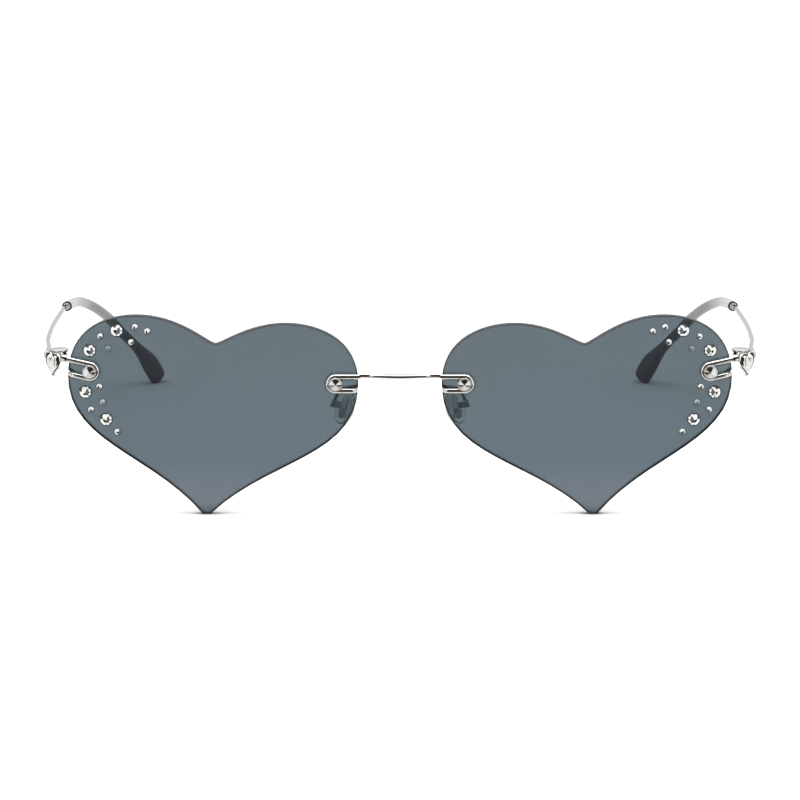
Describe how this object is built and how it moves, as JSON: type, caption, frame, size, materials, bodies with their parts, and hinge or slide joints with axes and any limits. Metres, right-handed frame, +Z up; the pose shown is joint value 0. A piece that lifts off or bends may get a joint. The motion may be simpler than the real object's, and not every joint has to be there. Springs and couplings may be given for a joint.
{
  "type": "sunglasses",
  "caption": "Rimless heart shaped sunglasses with wire bridge and temples, folding hinges with small hearts, rocking nose pads and set stones",
  "frame": {"origin": "middle of the width and of the depth, on the surface that the open sunglasses stand on", "axes": "+X towards the wearer's left, -Y the way the lenses face, +Y back along the temples, +Z up"},
  "size_m": [0.1562, 0.1318, 0.0428],
  "materials": {
    "smoked_lens": "polished tinted sheet",
    "clear_stone": "faceted and foiled",
    "silver_wire": "polished plating",
    "polished_screw": "polished plating",
    "hinge_metal": "polished plating",
    "pale_plastic": "moulded",
    "clear_silicone": "soft translucent",
    "smoked_sleeve": "translucent, glossy"
  },
  "bodies": {
    "front": {"lens_left": "smoked_lens", "lens_right": "smoked_lens", "large_stones_left": "clear_stone", "large_stones_right": "clear_stone", "small_stones_left": "clear_stone", "small_stones_right": "clear_stone", "bridge": "silver_wire", "endpiece_left": "silver_wire", "endpiece_right": "silver_wire", "lens_screws": "polished_screw", "lens_bushes": "pale_plastic", "lens_washers": "pale_plastic", "lens_nuts": "polished_screw", "pad_box_left": "silver_wire", "pad_box_right": "silver_wire", "pad_screw_left": "polished_screw", "pad_screw_right": "polished_screw", "hinge_eye_left": "hinge_metal", "hinge_eye_right": "hinge_metal"},
    "temple_left": {"hinge_fork_left": "hinge_metal", "hinge_screw_left": "polished_screw", "hinge_heart_left": "hinge_metal", "temple_wire_left": "silver_wire", "temple_sleeve_left": "smoked_sleeve"},
    "temple_right": {"hinge_fork_right": "hinge_metal", "hinge_screw_right": "polished_screw", "hinge_heart_right": "hinge_metal", "temple_wire_right": "silver_wire", "temple_sleeve_right": "smoked_sleeve"},
    "pad_left": {"pad_core_left": "silver_wire", "nose_pad_left": "clear_silicone"},
    "pad_right": {"pad_core_right": "silver_wire", "nose_pad_right": "clear_silicone"}
  },
  "joints": [
    {"name": "temple_left_fold", "type": "hinge", "parent": "front", "child": "temple_left", "pos_m": [0.0715, -0.06086, 0.03395], "axis": [0, 0, 1], "range_deg": [0, 80]},
    {"name": "temple_right_fold", "type": "hinge", "parent": "front", "child": "temple_right", "pos_m": [-0.0715, -0.06086, 0.03395], "axis": [0, 0, -1], "range_deg": [0, 75]},
    {"name": "pad_left_rock", "type": "hinge", "parent": "front", "child": "pad_left", "pos_m": [0.01291, -0.05643, 0.02229], "axis": [0.6691, 0.7431, 0], "range_deg": [-8, 8]},
    {"name": "pad_right_rock", "type": "hinge", "parent": "front", "child": "pad_right", "pos_m": [-0.01291, -0.05643, 0.02229], "axis": [-0.6691, 0.7431, 0], "range_deg": [-8, 8]}
  ]
}
